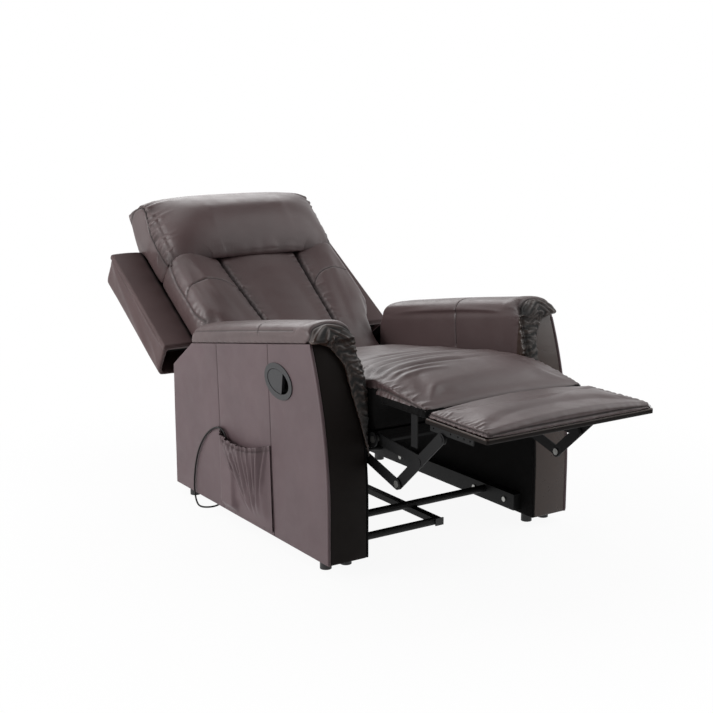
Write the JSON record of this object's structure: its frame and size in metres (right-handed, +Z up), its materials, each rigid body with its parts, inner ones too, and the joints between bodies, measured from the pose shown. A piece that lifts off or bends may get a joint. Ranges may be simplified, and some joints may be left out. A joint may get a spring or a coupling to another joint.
{
  "type": "massage chair",
  "caption": "Brown upholstered massage recliner shown laid back: arms with side panels, a tilting back with a headrest roll, a seat on a slide and a folding footrest on steel links.",
  "frame": {"origin": "floor under the middle of the chair as it lies back with its footrest out", "axes": "+X to the sitter's left, +Y towards the back, +Z up; the chair faces -Y"},
  "size_m": [0.8166, 1.7732, 0.8421],
  "materials": {
    "leather": "soft brown leather, low sheen",
    "padding": "foam cushion under soft brown leather",
    "timber": "rough sawn timber and plywood",
    "black_steel": "black powder coat",
    "bright_steel": "zinc plated steel",
    "nylon": "black nylon",
    "grey_plastic": "dark grey moulded plastic",
    "black_plastic": "black moulded plastic",
    "cord_rubber": "black cord sheath",
    "webbing": "elastic webbing"
  },
  "bodies": {
    "root": {"arm_outer_panel_left": "leather", "arm_outer_panel_right": "leather", "arm_inner_panels": "leather", "arm_front_panels": "leather", "arm_rear_panels": "leather", "arm_frame_right": "timber", "arm_frame_left": "timber", "arm_glides": "nylon", "arm_pad_right": "padding", "arm_pad_left": "padding", "base_side_rails": "black_steel", "base_front_tube": "black_steel", "base_rear_tube": "black_steel", "base_centre_rail": "black_steel", "centre_rail_cap": "nylon", "base_half_tube": "black_steel", "rail_bolts": "bright_steel", "base_plates": "black_steel", "release_bezel": "grey_plastic", "side_pocket": "leather", "massage_handset": "grey_plastic", "handset_cord": "cord_rubber", "control_box": "black_plastic", "cord_gland": "black_plastic", "power_inlet": "black_plastic"},
    "seat": {"seat_plates": "black_steel", "slide_studs": "bright_steel", "slide_rollers": "nylon", "seat_torque_tube": "black_steel", "seat_spacers": "black_steel", "drive_pins": "bright_steel", "guide_pins": "bright_steel", "hinge_bolts": "bright_steel", "seat_frame": "timber", "seat_springs": "bright_steel", "seat_motors": "black_plastic", "seat_cushion": "padding"},
    "back": {"back_frame": "timber", "back_brackets": "black_steel", "back_straps": "webbing", "back_motors": "black_plastic", "heat_pad": "webbing", "back_shell": "leather", "back_cushion": "padding", "headrest_roll": "padding"},
    "leg_rest": {"leg_pad": "padding", "leg_pad_brackets": "black_steel"},
    "footrest": {"footrest_board": "timber", "footrest_pad": "padding", "footrest_brackets": "black_steel", "footrest_motor": "black_plastic"},
    "drive_arms": {"drive_links": "black_steel", "knee_pins": "bright_steel"},
    "lift_arms": {"lift_links": "black_steel"},
    "guide_arms": {"guide_links": "black_steel"},
    "paddle": {"release_paddle": "grey_plastic"},
    "button_1": {"handset_button_1": "black_plastic"},
    "button_2": {"handset_button_2": "black_plastic"},
    "button_3": {"handset_button_3": "black_plastic"},
    "button_4": {"handset_button_4": "black_plastic"}
  },
  "joints": [
    {"name": "recline", "type": "hinge", "parent": "seat", "child": "back", "pos_m": [0, 0.23742, 0.357], "axis": [1, 0, 0], "range_deg": [0, 43]},
    {"name": "seat_slide", "type": "slide", "parent": "root", "child": "seat", "axis": [0, 1, 0], "range_m": [0, 0.0801]},
    {"name": "footrest_fold", "type": "hinge", "parent": "seat", "child": "leg_rest", "pos_m": [0, -0.44958, 0.426], "axis": [1, 0, 0], "range_deg": [0, 48]},
    {"name": "footrest_tip", "type": "hinge", "parent": "leg_rest", "child": "footrest", "pos_m": [0, -0.65458, 0.426], "axis": [1, 0, 0], "range_deg": [0, 42.1]},
    {"name": "drive_turn", "type": "hinge", "parent": "seat", "child": "drive_arms", "pos_m": [0, -0.35958, 0.3], "axis": [1, 0, 0], "range_deg": [0, 73.1]},
    {"name": "lift_turn", "type": "hinge", "parent": "drive_arms", "child": "lift_arms", "pos_m": [0, -0.54958, 0.245], "axis": [1, 0, 0], "range_deg": [-60.8, 0]},
    {"name": "guide_turn", "type": "hinge", "parent": "seat", "child": "guide_arms", "pos_m": [0, -0.45458, 0.336], "axis": [1, 0, 0], "range_deg": [0, 83.5]},
    {"name": "release", "type": "hinge", "parent": "root", "child": "paddle", "pos_m": [-0.39, -0.17051, 0.45819], "axis": [0, 0.1392, -0.9903], "range_deg": [0, 30], "stiffness_Nm_per_rad": 0.15, "springref_deg": -22.92},
    {"name": "press_1", "type": "slide", "parent": "root", "child": "button_1", "axis": [1, 0, 0], "range_m": [0, 0.0012], "stiffness_N_per_m": 900, "springref_m": -0.0005},
    {"name": "press_2", "type": "slide", "parent": "root", "child": "button_2", "axis": [1, 0, 0], "range_m": [0, 0.0012], "stiffness_N_per_m": 900, "springref_m": -0.0005},
    {"name": "press_3", "type": "slide", "parent": "root", "child": "button_3", "axis": [1, 0, 0], "range_m": [0, 0.0012], "stiffness_N_per_m": 900, "springref_m": -0.0005},
    {"name": "press_4", "type": "slide", "parent": "root", "child": "button_4", "axis": [1, 0, 0], "range_m": [0, 0.0012], "stiffness_N_per_m": 900, "springref_m": -0.0005}
  ],
  "couplings": [
    {"joint": "seat_slide", "follows": "recline", "m_per_rad": 0.1066},
    {"joint": "footrest_tip", "follows": "footrest_fold", "ratio": 0.875},
    {"joint": "drive_turn", "follows": "footrest_fold", "ratio": 1.5204},
    {"joint": "lift_turn", "follows": "footrest_fold", "ratio": -1.2644},
    {"joint": "guide_turn", "follows": "footrest_fold", "ratio": 1.7369}
  ]
}
